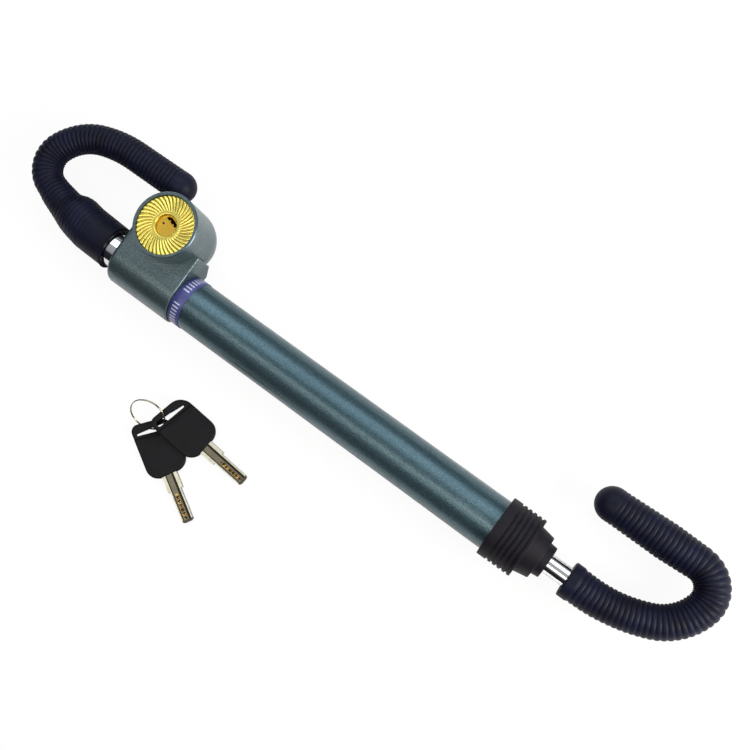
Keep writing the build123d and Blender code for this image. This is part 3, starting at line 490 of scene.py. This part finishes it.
# gap: from the head's end; strokes and groups: how many waves go round, and the level above which a wave is
# printed; tall: a stroke's length
band = {"gap": 0.5, "width": 8.2, "radius": 16.4, "inner": 15.9, "edge": 0.1, "strokes": (42.0, 0.3),
        "groups": (3.0, -0.75), "tall": 4.4, "sides": 128}


def makeBand(cfg):
    # a turned outline: a short sleeve of film on the tube, beside the head
    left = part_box("lock_housing")[1].x / mm + cfg["gap"]
    right = left + cfg["width"]
    inner, radius, edge = cfg["inner"], cfg["radius"], cfg["edge"]
    profile = np.array([(left, inner), (left, radius - edge), (left + edge, radius),
                        (right - edge, radius), (right, radius - edge), (right, inner)])
    film = bandFilm(cfg, (left + right) / 2)
    rows = turnedRows(profile, cfg["sides"])
    finishPiece(meshFromRows("band", rows, closed=True), "bar", film, "label_band")


makeBand(band)
print("band done")

# half and offset: half the bow's width, and how far its middle is off the blade's; long, short and foot: the
# radii of its corners; inset: how far the ring hangs from its end; slot: length and width, and point: the radius
# of its small end; rim and thick: the thin end's thickness and the grip's, which starts step past the slot
bow = {"length": 36.6, "half": 13.5, "offset": 0.6, "slant": 10.0, "long": 4.5, "short": 10.0, "foot": 8.5,
       "inset": 5.5, "slot": (20.8, 3.8), "point": 0.7, "rim": 2.0, "thick": 3.2, "step": 4.0, "edge": 1.1,
       "crown": 0.12, "rays": 288}
# heading: the blade's direction from above; hang: how far the ring hangs off the bow's middle line
keys = {"a": {"heading": -30.0, "hang": 6.5}, "b": {"heading": -5.1, "hang": -4.3}}


def keyAxes(tag):
    # the swing's joint gives the hanging point and the key's normal; the heading gives the blade's direction
    joint = joints["key_" + tag + "_swing"]
    origin, normal = np.array(joint["pos_m"]) / mm, np.array(joint["axis"])
    turn = math.radians(keys[tag]["heading"])
    down = np.array([math.cos(turn), math.sin(turn), 0.0])
    down -= normal * (down @ normal)
    down /= np.linalg.norm(down)
    return origin, down, np.cross(normal, down), normal


def roundedCorners(corners, steps=14):  # corners: (x, y, radius) round a convex outline, each corner an arc
    points = []
    count = len(corners)
    for i, (x, y, radius) in enumerate(corners):
        here = np.array([x, y])
        before = np.array(corners[i - 1][:2]) - here
        after = np.array(corners[(i + 1) % count][:2]) - here
        before, after = before / np.linalg.norm(before), after / np.linalg.norm(after)
        middle = (before + after) / np.linalg.norm(before + after)
        centre = here + middle * radius / np.linalg.norm(np.cross(before, middle))
        start = -(centre - here) + before * ((centre - here) @ before)
        stop = -(centre - here) + after * ((centre - here) @ after)
        a, b = math.atan2(start[1], start[0]), math.atan2(stop[1], stop[0])
        b = a + (b - a + math.pi) % (2 * math.pi) - math.pi
        t = np.linspace(a, b, steps)
        points.append(centre + radius * np.stack([np.cos(t), np.sin(t)], -1))
    return np.vstack(points)


def rayLengths(outline, centre, angle):  # how far a ray at each angle goes from the centre to the outline
    tight = np.linspace(0, 1, 12, endpoint=False)[:, None, None]
    dense = ((1 - tight) * outline + tight * np.roll(outline, -1, 0)).transpose(1, 0, 2).reshape(-1, 2) - centre
    turn = np.arctan2(dense[:, 1], dense[:, 0])
    order = np.argsort(turn)
    return np.interp(angle, turn[order], np.linalg.norm(dense, axis=1)[order], period=2 * np.pi)


def bowFoot(tag):  # from the hanging point down to the bow's foot, along the key
    return bow["length"] - bow["inset"] - keys[tag]["hang"] * math.tan(math.radians(bow["slant"]))


def makeBow(tag, cfg):
    # rays from the slot's middle carry rows from the slot's edge to the bow's outline, over the top and back
    # underneath; the height eases up from the thin end to the grip and rounds over at both edges
    origin, down, across, normal = keyAxes(tag)
    slope = math.radians(cfg["slant"])
    lean, foot, middle = math.tan(slope), bowFoot(tag), -keys[tag]["hang"]
    far, near = cfg["offset"] + cfg["half"], cfg["offset"] - cfg["half"]
    centre = np.array([foot - cfg["length"] + cfg["inset"], middle])
    outline = roundedCorners([
        (foot, middle + near, cfg["foot"]), (foot, middle + far, cfg["foot"]),
        (foot - cfg["length"] + far * lean, middle + far, cfg["short"]),
        (foot - cfg["length"] + near * lean, middle + near, cfg["long"])])
    angle = np.linspace(-np.pi, np.pi, cfg["rays"], endpoint=False)
    outer = rayLengths(outline, centre, angle)
    # the slot has two round ends, the small one away from the ring, and leans with the bow's end
    long, wide = cfg["slot"][0] / 2, cfg["slot"][1] / 2
    turn = np.radians(np.linspace(0, 180, 15))
    ends = np.stack([wide * np.cos(turn), long - wide + wide * np.sin(turn)], -1)
    small = cfg["point"]
    point = np.stack([wide - small - small * np.cos(turn), small - long - small * np.sin(turn)], -1)
    spin = np.array([[math.cos(slope), -math.sin(slope)], [math.sin(slope), math.cos(slope)]])
    slotLine = (np.vstack([ends, point]) * (1, np.sign(keys[tag]["hang"]))) @ spin
    inner = rayLengths(slotLine + centre, centre, angle)
    lip = np.array([[0.0], [0.12], [0.4]])  # rows out from the slot's edge, and their share of the full height
    lipHeight = np.array([[0.5], [0.85], [1.0]])
    between = np.linspace(0.06, 0.94, 16)[:, None]
    edge = cfg["edge"] * np.array([[1.0], [0.65], [0.35], [0.12], [0.0]])
    flat = inner + lip[-1] + (outer - cfg["edge"] - inner - lip[-1]) * between
    reach = np.concatenate([inner + lip, flat, outer - edge])
    fromOuter = outer - reach
    fall = np.sqrt(np.clip(1 - np.clip(1 - fromOuter / cfg["edge"], 0, 1) ** 2, 0, 1))
    fall[:len(lip)] = lipHeight
    x = centre[0] + reach * np.cos(angle)
    y = centre[1] + reach * np.sin(angle)
    past = (x - centre[0]) * math.cos(slope) - (y - centre[1]) * math.sin(slope) - cfg["step"]
    level = cfg["rim"] / 2 + (cfg["thick"] - cfg["rim"]) / 2 * smooth(past / 0.9 + 0.5)
    level = level + cfg["crown"] * smooth(fromOuter / 9) * smooth(past / 12)
    z = level * (0.45 + 0.55 * fall)
    top = origin + x[..., None] * down + y[..., None] * across + z[..., None] * normal
    under = origin + x[..., None] * down + y[..., None] * across - z[..., None] * normal
    rows = np.concatenate([top, under[::-1]])
    finishPiece(meshFromRows("keyBow_" + tag, rows, closed=True), "key_" + tag, bowPlastic,
                "key_bow_" + tag)


# grooves and strip: (place across the blade, half its width) of the milled grooves, where shade is painted, and of
# the darker strip between them; dimples: how many, with their pitch, radius and place across
# tip: how far back from the blade's end the painted shade on the bevelled tip reaches
blade = {"length": 31.8, "grooves": [(-2.5, 0.3), (2.0, 0.7)], "strip": (-0.5, 1.8), "dimples": 6, "pitch": 2.7,
         "dimple": 1.1, "line": -0.4, "tip": 1.6}


def bladeMetal(tag, cfg):
    # milled nickel silver seen in the blade's own axes: painted shade in a thin and a broad groove along it,
    # drilled dimples that show the brass colour of their walls, each a little different, with painted shade over
    # the part of each dimple towards the bow, and painted shade on the bevelled tip
    material, shader = newMaterial("milled_nickel_silver_" + tag, Metallic=1.0)
    origin, down, across, _ = keyAxes(tag)
    coords = addNode(material, "ShaderNodeTexCoord")
    shifted = addNode(material, "ShaderNodeVectorMath", [(0, coords, "Object")], operation="SUBTRACT")
    shifted.inputs[1].default_value = origin * mm
    u = addNode(material, "ShaderNodeVectorMath", [(0, shifted, "Vector")], operation="DOT_PRODUCT")
    v = addNode(material, "ShaderNodeVectorMath", [(0, shifted, "Vector")], operation="DOT_PRODUCT")
    u.inputs[1].default_value = down
    v.inputs[1].default_value = across
    side = sums(material, "ADD", (v, "Value"), keys[tag]["hang"] * mm)

    def stripeAt(place, half):  # 1 in a stripe along the blade
        off = sums(material, "ABSOLUTE", sums(material, "SUBTRACT", side, place * mm))
        return sums(material, "LESS_THAN", off, half * mm)

    strip = stripeAt(*cfg["strip"])
    # painted shade in the grooves: they are coloured near black
    groove = sums(material, "ADD", *[stripeAt(*stripe) for stripe in cfg["grooves"]])
    # dimples: the distance to the nearest of a row of points, counted from the tip
    end, pitch = (bowFoot(tag) + cfg["length"]) * mm, cfg["pitch"] * mm
    # painted shade on the bevelled tip: its last part is coloured dark
    tip = sums(material, "GREATER_THAN", (u, "Value"), end - cfg["tip"] * mm)
    count = sums(material, "DIVIDE", sums(material, "SUBTRACT", end, (u, "Value")), pitch)
    nearest = sums(material, "SUBTRACT", count, sums(material, "ROUND", count))
    step = sums(material, "MULTIPLY", nearest, pitch)
    aside = sums(material, "SUBTRACT", side, cfg["line"] * mm)
    square = sums(material, "MULTIPLY_ADD", step, step, sums(material, "MULTIPLY", aside, aside))
    inDimple = sums(material, "LESS_THAN", sums(material, "SQRT", square), cfg["dimple"] * mm)
    fromMiddle = sums(material, "SUBTRACT", count, (cfg["dimples"] + 1) / 2 + 0.5)
    counted = sums(material, "LESS_THAN", sums(material, "ABSOLUTE", fromMiddle), cfg["dimples"] / 2)
    dimple = sums(material, "MULTIPLY", inDimple, counted)
    # painted shade: the part of each dimple towards the bow is coloured near black
    wall = sums(material, "MULTIPLY", dimple, sums(material, "GREATER_THAN", step, 0.2 * mm))
    metal = noiseAt(material, 350.0)
    patina = noiseAt(material, 260.0, 1.0)
    walls = ramp(material, patina, "Fac", [(0.4, "#3d2c14"), (0.5, "#9a6418"), (0.62, "#8d7a3a")])
    colour, output = ramp(material, metal, "Fac", [(0.3, "#7b7e74"), (0.7, "#959a8f")]), "Color"
    for mask, paint in ((strip, "#4a4b41"), (groove, "#211f19"), (dimple, walls), (wall, "#1a1207"),
                        (tip, "#33312a")):
        # a colour mix has its factor at input 0, its colours at 6 and 7 and its result at output 2
        colour = addNode(material, "ShaderNodeMix", [(0, *mask), (6, colour, output)], data_type="RGBA")
        output = 2
        if isinstance(paint, str):
            colour.inputs[7].default_value = toLinear(paint)
        else:
            link(material, paint, "Color", colour, 7)
    link(material, colour, output, shader, "Base Color")
    roughBy(material, shader, metal, 0.18, 0.34)
    for slot in frame["nodes"]["key_blade_" + tag].material_slots:
        slot.material = material


for tag in keys:
    makeBow(tag, bow)
    bladeMetal(tag, blade)
print("keys done")

# heading and tilt: the ring's lowest diameter as seen from above, and how far the ring leans; start: the angle at
# which its wire starts
splitRing = {"radius": 11.6, "wire": 0.31, "heading": 22.0, "tilt": 45.0, "start": 110.0, "rows": 400, "sides": 16}


def makeRing(cfg):
    # a split ring: two turns of thin wire side by side, which step across over a sixth of a turn
    low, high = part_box("key_ring")
    centre = np.array((low + high) / 2) / mm
    heading, tilt = math.radians(cfg["heading"]), math.radians(cfg["tilt"])
    along = np.array([math.cos(heading), math.sin(heading), 0.0])
    rise = np.array([-along[1] * math.cos(tilt), along[0] * math.cos(tilt), math.sin(tilt)])
    normal = np.cross(along, rise)
    turn = np.linspace(0, 2, cfg["rows"])
    angle = 2 * np.pi * turn + math.radians(cfg["start"])
    shift = cfg["wire"] * (2 * smooth((turn - 1) * 6 + 0.5) - 1)
    outwards = np.cos(angle)[:, None] * along + np.sin(angle)[:, None] * rise
    line = centre + cfg["radius"] * outwards + shift[:, None] * normal
    around = np.linspace(0, 2 * np.pi, cfg["sides"], endpoint=False)
    section = outwards[:, None] * np.cos(around)[:, None] + normal * np.sin(around)[:, None]
    rows = line[:, None] + cfg["wire"] * section
    ends = np.repeat(line[[0, -1], None], cfg["sides"], 1)
    rows = np.concatenate([ends[:1], rows, ends[1:]])
    finishPiece(meshFromRows("splitRing", rows), "ring", wireSteel, "key_ring")


makeRing(splitRing)
print("ring done")


# paper: its grey; seen: how much of its white the camera sees unshaded; half: half its width in metres
stage = {"paper": 0.86, "seen": 0.93, "half": 4.0, "thick": 0.01, "below": 0.0002}
# lean: how much of the height and of +Y the tone follows
studio = {"tones": [(0.0, "#26282c"), (0.42, "#303338"), (0.55, "#a4a8ad"), (1.0, "#c4c8cc")],
          "lean": (0.95, 0.3), "strength": 0.9}
softboxes = {  # place, target, size, power, colour
    "key": ((-0.2, 0.85, 1.1), (0.1, 0, 0), (1.6, 0.9), 11, "#f0f7ff"),
    "fill": ((0.05, -0.46, 1.3), (0.1, 0, 0), (1.4, 0.45), 7, "#fff1e6"),
    "side": ((1.2, 0.2, 0.6), (0, 0, 0), (0.6, 0.6), 19, "#fffaf4"),
}
# above the middle of the lock, and rolled so that the bar runs down to the right
cameraView = {"place": (0.2710, -0.0118, 0.5709), "turn": (0.1434, 0.1626, 0.6307), "sensor": 36, "lens": 45.6}


def makeStage(cfg):
    # white paper that the camera sees as near white, and that lights the object from below as paper does
    half = cfg["half"]
    edges = [[-half, -half, 0], [half, -half, 0], [half, half, 0], [-half, half, 0]]
    sheet = 1000 * np.array([[[0, 0, 0]] * 4, edges, [[0, 0, -cfg["thick"]]] * 4], float)
    floor = meshFromRows("floor", sheet)
    floor.location.z = -cfg["below"]
    material = bpy.data.materials.new("white_paper")
    material.use_nodes = True
    material.node_tree.nodes.clear()
    paper = addNode(material, "ShaderNodeBsdfDiffuse", Color=(cfg["paper"], cfg["paper"], cfg["paper"], 1))
    white = addNode(material, "ShaderNodeEmission", Strength=1.0)
    path = addNode(material, "ShaderNodeLightPath")
    seen = sums(material, "MULTIPLY", (path, "Is Camera Ray"), cfg["seen"])
    mix = addNode(material, "ShaderNodeMixShader",
                  [(0, seen[0], "Value"), (1, paper, "BSDF"), (2, white, "Emission")])
    addNode(material, "ShaderNodeOutputMaterial", [("Surface", mix, "Shader")])
    floor.data.materials.append(material)


def makeWorld(cfg):
    # a studio that is dark low down and grey overhead, leaning towards +Y, so that round metal shows dark lines;
    # the camera sees white
    world = bpy.data.worlds.new("studio")
    bpy.context.scene.world = world
    world.use_nodes = True
    world.node_tree.nodes.clear()
    coords = addNode(world, "ShaderNodeTexCoord")
    axes = addNode(world, "ShaderNodeSeparateXYZ", [("Vector", coords, "Generated")])
    aside = sums(world, "MULTIPLY", (axes, "Y"), cfg["lean"][1])
    height = sums(world, "MULTIPLY_ADD", (axes, "Z"), cfg["lean"][0], aside)
    tone = ramp(world, height[0], height[1], cfg["tones"])
    grey = addNode(world, "ShaderNodeBackground", [("Color", tone, "Color")], Strength=cfg["strength"])
    white = addNode(world, "ShaderNodeBackground", Color=(1, 1, 1, 1), Strength=1.0)
    path = addNode(world, "ShaderNodeLightPath")
    mix = addNode(world, "ShaderNodeMixShader",
                  [(0, path, "Is Camera Ray"), (1, grey, "Background"), (2, white, "Background")])
    addNode(world, "ShaderNodeOutputWorld", [("Surface", mix, "Shader")])


def addSoftbox(name, place, target, size, power, colour):
    light = bpy.data.lights.new(name, "AREA")
    light.color = toLinear(colour)[:3]
    light.shape = "RECTANGLE"
    light.size, light.size_y = size
    light.energy = power
    lamp = bpy.data.objects.new(name, light)
    bpy.context.collection.objects.link(lamp)
    lamp.location = place
    lamp.rotation_euler = (Vector(target) - Vector(place)).to_track_quat("-Z", "Y").to_euler()


def addCamera(cfg):
    camera = bpy.data.objects.new("camera", bpy.data.cameras.new("camera"))
    bpy.context.collection.objects.link(camera)
    camera.location = cfg["place"]
    camera.rotation_euler = cfg["turn"]
    camera.data.sensor_width = cfg["sensor"]
    camera.data.lens = cfg["lens"]
    bpy.context.scene.camera = camera


makeStage(stage)
makeWorld(studio)
for name, box in softboxes.items():
    addSoftbox(name, *box)
addCamera(cameraView)
bpy.context.scene.view_settings.view_transform = "Standard"
print("stage done")
